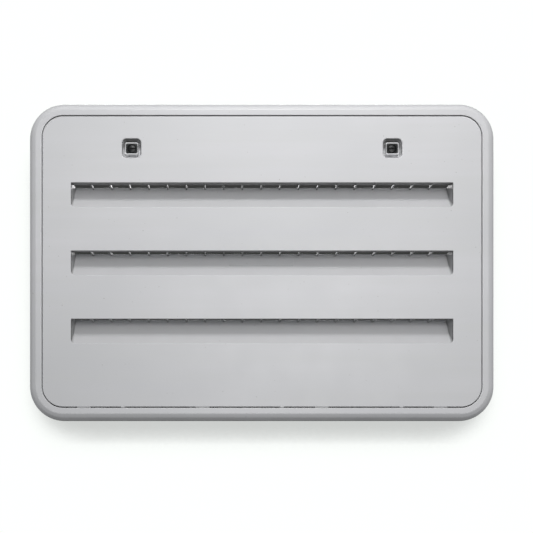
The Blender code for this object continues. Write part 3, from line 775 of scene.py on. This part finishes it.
class Nodes:
    """Short calls for building one material's node tree."""

    def __init__(self, name):
        self.material = bpy.data.materials.new(name)
        self.material.use_nodes = True
        self.tree = self.material.node_tree
        self.shader = self.tree.nodes["Principled BSDF"]
        self.coordinates = self.tree.nodes.new("ShaderNodeTexCoord")
        self.where = self.coordinates.outputs["Object"]

    def link(self, value, socket):
        """Feeds a socket from another socket, or sets it to a number or colour."""
        if isinstance(value, bpy.types.NodeSocket):
            self.tree.links.new(value, socket)
        elif isinstance(value, (tuple, list)) and len(value) == 3 and socket.type == "RGBA":
            socket.default_value = (*value, 1.0)
        else:
            socket.default_value = value

    def noise(self, scale, detail=2.0, stretch=(1, 1, 1)):
        """Noise with scale cells to the metre, squeezed along the axes by stretch."""
        mapping = self.tree.nodes.new("ShaderNodeMapping")
        mapping.inputs["Scale"].default_value = stretch
        self.link(self.where, mapping.inputs["Vector"])
        node = self.tree.nodes.new("ShaderNodeTexNoise")
        self.link(mapping.outputs["Vector"], node.inputs["Vector"])
        node.inputs["Scale"].default_value = scale
        node.inputs["Detail"].default_value = detail
        return node.outputs["Fac"]

    def ranged(self, value, low, high, to_low, to_high, interpolation="LINEAR"):
        """The value moved from the range low..high to to_low..to_high, and held at its ends."""
        node = self.tree.nodes.new("ShaderNodeMapRange")
        node.interpolation_type = interpolation
        for name, source in (
            ("Value", value), ("From Min", low), ("From Max", high), ("To Min", to_low), ("To Max", to_high),
        ):
            self.link(source, node.inputs[name])
        return node.outputs["Result"]

    def mix(self, share, first, second):
        """The first colour, with the second over it by share."""
        node = self.tree.nodes.new("ShaderNodeMix")
        node.data_type = "RGBA"
        self.link(share, node.inputs["Factor"])
        self.link(first, node.inputs["A"])
        self.link(second, node.inputs["B"])
        return node.outputs["Result"]

    def math(self, operation, first, second=0.0):
        """The result of one math operation on one or two values."""
        node = self.tree.nodes.new("ShaderNodeMath")
        node.operation = operation
        self.link(first, node.inputs[0])
        self.link(second, node.inputs[1])
        return node.outputs["Value"]

    def times(self, first, second):
        """The product of two values."""
        return self.math("MULTIPLY", first, second)

    def axes(self, vector):
        """The vector's X, Y and Z as separate outputs."""
        node = self.tree.nodes.new("ShaderNodeSeparateXYZ")
        self.link(vector, node.inputs["Vector"])
        return node.outputs

    def occlusion(self, reach, samples):
        """A node that measures how open a point is, 1 where nothing is within reach."""
        node = self.tree.nodes.new("ShaderNodeAmbientOcclusion")
        node.samples = samples
        node.inputs["Distance"].default_value = reach
        return node

    def bump(self, height, strength, distance, before=None):
        """Normals bent by a height, on top of an earlier bump if there is one."""
        node = self.tree.nodes.new("ShaderNodeBump")
        self.link(height, node.inputs["Height"])
        node.inputs["Strength"].default_value = strength
        node.inputs["Distance"].default_value = distance
        if before is not None:
            self.link(before, node.inputs["Normal"])
        return node.outputs["Normal"]

    def set(self, **values):
        """Sets the surface's inputs, named with _ for each space."""
        for name, value in values.items():
            self.link(value, self.shader.inputs[name.replace("_", " ")])


# Moulded white and the shade painted on it: colours, shares of full cover, and reaches in metres.
COOL_WHITE = (0.575, 0.582, 0.596)
PALE_WHITE = (0.655, 0.655, 0.668)
STREAK_WHITE = (0.600, 0.606, 0.606)
SPECK = (0.30, 0.29, 0.27)
# painted shade: the dark laid under overhangs, on the slots' end walls and in crevices
PAINTED_SHADE = (0.085, 0.085, 0.082)
# painted shade on faces turned up, toning down the light that falls on them from above
UPFACING_PAINTED_SHADE = (0.36, 0.36, 0.37)
UNDERSIDE_SHADE_SHARE = 0.85
END_WALL_SHADE_SHARE = 0.5
END_WALL_REACH = (0.0035, 0.006)
CREVICE_SHADE_SHARE = 0.75
CREVICE_REACH = 0.007
TOPSIDE_SHADE_SHARE = 0.5
LATCH_SHADE_SHARE = 0.1
LATCH_FOOT = 0.016  # painted shade is mostly left off each latch recess's lower half, down to this far below its axis


def moulded_tone(n):
    """Cool off-white with faint flow clouding, long streaks and a few dark specks."""
    cloud = n.ranged(n.noise(5.0, 3.0, (0.6, 1.0, 1.4)), 0.3, 0.7, 0.0, 1.0)
    streak = n.ranged(n.noise(60.0, 3.0, (0.04, 1.0, 1.0)), 0.35, 0.65, 0.0, 0.6)
    speck = n.ranged(n.noise(420.0, 0.0), 0.87, 0.89, 0.0, 0.6)
    tone = n.mix(cloud, COOL_WHITE, PALE_WHITE)
    tone = n.mix(streak, tone, STREAK_WHITE)
    return n.mix(speck, tone, SPECK)


def painted_shade_hold(n, height):
    """How much painted shade is laid on: patchy all over, and hardly any in the lower half of the latch
    recesses.
    """
    patchy = n.ranged(n.noise(45.0, 3.0), 0.3, 0.7, 0.8, 1.0)
    axis_z = MIDDLE_Z + LATCH_Y * MM
    foot_z = axis_z - LATCH_FOOT
    above = n.ranged(height, axis_z - 0.001, axis_z + 0.004, 0.0, 1.0)
    below = n.ranged(height, foot_z - 0.004, foot_z, 1.0, 0.0)
    return n.times(patchy, n.ranged(n.math("ADD", above, below), 0.0, 1.0, LATCH_SHADE_SHARE, 1.0))


def with_painted_shade(n, tone):
    """The tone with painted shade on undersides, slot ends and crevices, and on what faces up."""
    place = n.axes(n.where)
    facing = n.axes(n.coordinates.outputs["Normal"])
    openness = n.occlusion(CREVICE_REACH, samples=6)
    openness.only_local = True
    hold = painted_shade_hold(n, place["Z"])
    # painted shade: slot end walls, undersides, faces turned up, and crevices found by occlusion
    from_end = n.math("SUBTRACT", n.math("ABSOLUTE", place["X"]), LOUVRE_HALF_W * MM)
    at_end = n.ranged(n.math("ABSOLUTE", from_end), *END_WALL_REACH, 1.0, 0.0)
    sideways = n.ranged(n.math("ABSOLUTE", facing["X"]), 0.15, 0.7, 0.0, END_WALL_SHADE_SHARE)
    underside = n.ranged(facing["Z"], -0.4, -0.95, 0.0, UNDERSIDE_SHADE_SHARE)
    topside = n.ranged(facing["Z"], 0.45, 0.75, 0.0, TOPSIDE_SHADE_SHARE)
    not_facing_up = n.ranged(facing["Z"], 0.15, 0.45, 1.0, 0.0)
    crevice = n.ranged(openness.outputs["AO"], 0.8, 0.35, 0.0, CREVICE_SHADE_SHARE)
    for share, colour in (
        (underside, PAINTED_SHADE),
        (n.times(sideways, at_end), PAINTED_SHADE),
        (topside, UPFACING_PAINTED_SHADE),
        (n.times(crevice, not_facing_up), PAINTED_SHADE),
    ):
        tone = n.mix(n.times(share, hold), tone, colour)
    return tone


def white_abs():
    """Moulded ABS, slightly wavy, with a fine grain and painted shade in sheltered places and on faces turned
    up.
    """
    n = Nodes("white_abs_plastic")
    wave = n.bump(n.noise(9.0, 2.0), 0.35, 0.0012)
    n.set(
        Base_Color=with_painted_shade(n, moulded_tone(n)),
        Roughness=n.ranged(n.noise(30.0, 3.0), 0.3, 0.7, 0.36, 0.46),
        Normal=n.bump(n.noise(1900.0, 2.0), 0.16, 0.00012, wave),
        IOR=1.5,
    )
    return n.material


def black_nylon():
    """Black nylon: fine matt grain, rubbed a little lighter in patches."""
    n = Nodes("black_nylon")
    rub = n.ranged(n.noise(260.0, 3.0), 0.45, 0.75, 0.0, 1.0)
    n.set(
        Base_Color=n.mix(rub, (0.005, 0.006, 0.006), (0.016, 0.017, 0.018)),
        Roughness=n.ranged(n.noise(500.0, 2.0), 0.3, 0.7, 0.3, 0.46),
        Specular_IOR_Level=0.35,
        Normal=n.bump(n.noise(5200.0, 2.0), 0.2, 0.00006),
    )
    return n.material


def zinc_steel():
    """Bright zinc plate with drawn scratches and a faint warm passivation."""
    n = Nodes("zinc_plated_steel")
    patch = n.ranged(n.noise(320.0, 3.0), 0.35, 0.7, 0.0, 1.0)
    scratch = n.noise(2600.0, 2.0, (0.06, 1.0, 1.0))
    n.set(
        Base_Color=n.mix(patch, (0.62, 0.62, 0.61), (0.56, 0.53, 0.44)),
        Metallic=1.0,
        Roughness=n.ranged(scratch, 0.3, 0.7, 0.24, 0.42),
        Normal=n.bump(scratch, 0.25, 0.00004),
    )
    return n.material


def floor_white():
    """Matt white card, faintly uneven, glowing a little so that its shadows stay pale."""
    n = Nodes("floor_card")
    uneven = n.ranged(n.noise(1.5, 2.0), 0.3, 0.7, 0.0, 1.0)
    n.set(
        Base_Color=n.mix(uneven, (0.93, 0.93, 0.93), (0.96, 0.96, 0.96)),
        Roughness=0.9,
        Specular_IOR_Level=0.1,
        Emission_Color=(1.0, 1.0, 1.0),
        Emission_Strength=FLOOR_GLOW,
    )
    return n.material


def backdrop_white():
    """Glowing white, with a painted shadow where the vent hangs over it and painted shade inside the collar.

    Its occlusion looks up the wall, so the shade lies below the vent as under a light from above.
    """
    n = Nodes("backdrop_card")
    looking = n.tree.nodes.new("ShaderNodeCombineXYZ")
    for axis, value in zip("XYZ", SHADE_FROM, strict=True):
        looking.inputs[axis].default_value = value
    openness = n.occlusion(SHADE_REACH, samples=12)
    n.link(looking.outputs["Vector"], openness.inputs["Normal"])
    shade = n.ranged(openness.outputs["AO"], *SHADE_RANGE, SHADE_DARKEST, 1.0, "SMOOTHSTEP")
    place = n.axes(n.where)
    beyond = [
        n.math("GREATER_THAN", n.math("ABSOLUTE", place[axis]), half)
        for axis, half in zip("XY", OPENING_HALF, strict=True)
    ]
    glow = n.tree.nodes.new("ShaderNodeEmission")
    n.link(SHADE_TINT, glow.inputs["Color"])
    n.link(n.ranged(n.math("MAXIMUM", *beyond), 0.0, 1.0, INSIDE_PAINTED_SHADE, shade), glow.inputs["Strength"])
    n.link(glow.outputs["Emission"], n.tree.nodes["Material Output"].inputs["Surface"])
    n.tree.nodes.remove(n.shader)
    return n.material


# ---------------------------------------------------------------- pieces


SHARP_ANGLE = math.radians(38)
FLAT_FACE_WEIGHT = 80


def piece(name, mesh, node, body, material, place=PLAN):
    """Shows the mesh in place of a CAD node, riding on the node's body."""
    mesh.transform(place)
    mesh.materials.clear()
    mesh.materials.append(material)
    mesh.shade_smooth()
    mesh.set_sharp_from_angle(angle=SHARP_ANGLE)
    obj = bpy.data.objects.new(name, mesh)
    bpy.context.scene.collection.objects.link(obj)
    weighted = obj.modifiers.new("flat faces stay flat", "WEIGHTED_NORMAL")
    weighted.keep_sharp = True
    weighted.weight = FLAT_FACE_WEIGHT
    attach(obj, body)
    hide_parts(node)


def build_vent():
    """The two mouldings and both latches."""
    plastic, nylon, zinc = white_abs(), black_nylon(), zinc_steel()
    piece("frame_moulding", frame_mesh(), "frame", "frame", plastic)
    piece("door_moulding", door_mesh(), "door_panel", "door", plastic)
    for side, x in (("left", -LATCH_X), ("right", LATCH_X)):
        at_axis = PLAN @ Matrix.Translation((x, LATCH_Y, 0))
        turning = f"{side}_latch"
        for part, mesh, body, material, slot_name in (
            ("bezel", bezel_mesh(), "door", nylon, "black_plastic"),
            ("retainer", retainer_mesh(), "door", zinc, "zinc_steel"),
            ("washer", washer_mesh(), "door", zinc, "zinc_steel"),
            ("knob", knob_mesh(), turning, nylon, "black_plastic"),
            ("cam", cam_mesh(), turning, nylon, "black_plastic"),
            ("screw", latch_screw_mesh(), turning, zinc, "zinc_steel"),
        ):
            node = f"{side}_latch_{part}"
            piece(f"{node}_fine", mesh, node, body, material, at_axis)


# ---------------------------------------------------------------- studio and camera

CAMERA_DISTANCE = 0.76
CAMERA_OFFSET = (-0.045, -0.20)
LENS_SHIFT = (0.0731, 0.2783)
SAME_PLACE = 0.001  # the camera counts as at its own place within this distance
VIEW_WIDTH = 0.695  # how much of the face plane the picture's width covers
SENSOR = 36.0

WORLD_TINT = (0.96, 0.98, 1.0)
WORLD_STRENGTH = 0.23
WORLD_SEEN = (0.9, 0.9, 0.9)
FLOOR_SIZE = 8.0
FLOOR_DROP = 0.3
FLOOR_GLOW = 0.1
CARD_SIZE = 6.0
CARD_GAP = 0.001
CARD_AWAY = 4.0
CARD_SHOWN_FROM = -0.05  # the card is in place for cameras nearer the viewer than this y
# The backdrop's glow carries a painted shadow below the vent and painted shade inside the collar.
OPENING_HALF = (0.268, 0.171)
SHADE_REACH = 0.068
SHADE_FROM = (0.0, -0.36, 0.93)
SHADE_RANGE = (0.55, 0.9)
SHADE_DARKEST = 0.6
SHADE_TINT = (0.995, 1.02, 1.0)
INSIDE_PAINTED_SHADE = 0.04
LIGHT_TINT = (1.0, 0.995, 1.0)
# name, place from the middle of the vent, size, power
LIGHTS = (
    ("key", (0.03, -0.72, 1.1), (0.7, 0.4), 10.1),
    ("sheen", (0.0, -2.0, 1.1), (0.7, 0.5), 3.0),
    ("fill", (0.2, -1.4, 0.15), (0.9, 0.6), 7.8),
    ("back", (0.0, 1.6, 1.2), (1.5, 1.5), 46.0),
)


def studio_camera():
    """Square on to the face from below and left of its middle."""
    data = bpy.data.cameras.new("studio_camera")
    data.sensor_width = SENSOR
    data.lens = SENSOR * CAMERA_DISTANCE / VIEW_WIDTH
    camera = bpy.data.objects.new("studio_camera", data)
    bpy.context.scene.collection.objects.link(camera)
    camera.location = (
        CAMERA_OFFSET[0], -FACE_Z * MM - CAMERA_DISTANCE, MIDDLE_Z + CAMERA_OFFSET[1]
    )
    camera.rotation_euler = (math.pi / 2, 0, 0)
    bpy.context.scene.camera = camera
    return camera


def shift_lens(camera):
    """Frames the vent by a lens shift, which is dropped when the camera is put elsewhere."""
    spot = bpy.data.objects.new("studio_camera_place", None)
    bpy.context.scene.collection.objects.link(spot)
    spot.location = camera.location
    for path, shift in zip(("shift_x", "shift_y"), LENS_SHIFT, strict=True):
        driver = camera.data.driver_add(path).driver
        away = driver.variables.new()
        away.name = "away"
        away.type = "LOC_DIFF"
        away.targets[0].id = camera
        away.targets[1].id = spot
        driver.expression = f"{shift} if away < {SAME_PLACE} else 0.0"


def card(name, size, place, turn, material):
    """A square staging card that doesn't light the vent."""
    bm = bmesh.new()
    bmesh.ops.create_grid(bm, x_segments=1, y_segments=1, size=size / 2)
    obj = bpy.data.objects.new(name, finished(bm))
    obj.data.materials.append(material)
    obj.location = place
    obj.rotation_euler = turn
    obj.visible_diffuse = False
    obj.visible_glossy = False
    bpy.context.scene.collection.objects.link(obj)
    return obj


def backdrop(camera):
    """A white card just behind the collar, moved out of sight when the camera is not in front."""
    wall = card("backdrop", CARD_SIZE, (0, 0, MIDDLE_Z), (math.pi / 2, 0, 0), backdrop_white())
    driver = wall.driver_add("location", 1).driver
    ahead = driver.variables.new()
    ahead.name = "camera_y"
    ahead.type = "TRANSFORMS"
    ahead.targets[0].id = camera
    ahead.targets[0].transform_type = "LOC_Y"
    ahead.targets[0].transform_space = "WORLD_SPACE"
    near = cad_high[1] + CARD_GAP
    driver.expression = f"{near:.4f} if camera_y < {CARD_SHOWN_FROM} else {CARD_AWAY}"


def area_light(name, place, target, size, power):
    """A rectangular light aimed at the target, unseen by the camera."""
    data = bpy.data.lights.new(name, "AREA")
    data.shape = "RECTANGLE"
    data.size, data.size_y = size
    data.energy = power
    data.color = LIGHT_TINT
    light = bpy.data.objects.new(name, data)
    bpy.context.scene.collection.objects.link(light)
    light.location = place
    light.rotation_euler = (Vector(target) - Vector(place)).to_track_quat("-Z", "Y").to_euler()
    light.visible_camera = False


def dim_world():
    """Pale to the camera and dimmer to the object."""
    world = bpy.data.worlds.new("studio")
    world.use_nodes = True
    tree = world.node_tree
    dim = tree.nodes["Background"]
    dim.inputs["Color"].default_value = (*WORLD_TINT, 1.0)
    dim.inputs["Strength"].default_value = WORLD_STRENGTH
    seen = tree.nodes.new("ShaderNodeBackground")
    seen.inputs["Color"].default_value = (*WORLD_SEEN, 1.0)
    path = tree.nodes.new("ShaderNodeLightPath")
    mix = tree.nodes.new("ShaderNodeMixShader")
    tree.links.new(path.outputs["Is Camera Ray"], mix.inputs["Fac"])
    tree.links.new(dim.outputs["Background"], mix.inputs[1])
    tree.links.new(seen.outputs["Background"], mix.inputs[2])
    tree.links.new(mix.outputs["Shader"], tree.nodes["World Output"].inputs["Surface"])
    bpy.context.scene.world = world


def studio():
    """Camera, floor, backdrop and lights."""
    camera = studio_camera()
    shift_lens(camera)
    card("floor", FLOOR_SIZE, (0, 0, cad_low[2] - FLOOR_DROP), (0, 0, 0), floor_white())
    backdrop(camera)
    for name, (x, y, up), size, power in LIGHTS:
        area_light(name, (x, y, MIDDLE_Z + up), (0, 0, MIDDLE_Z), size, power)
    dim_world()
    bpy.context.scene.view_settings.view_transform = "Standard"


build_vent()
studio()
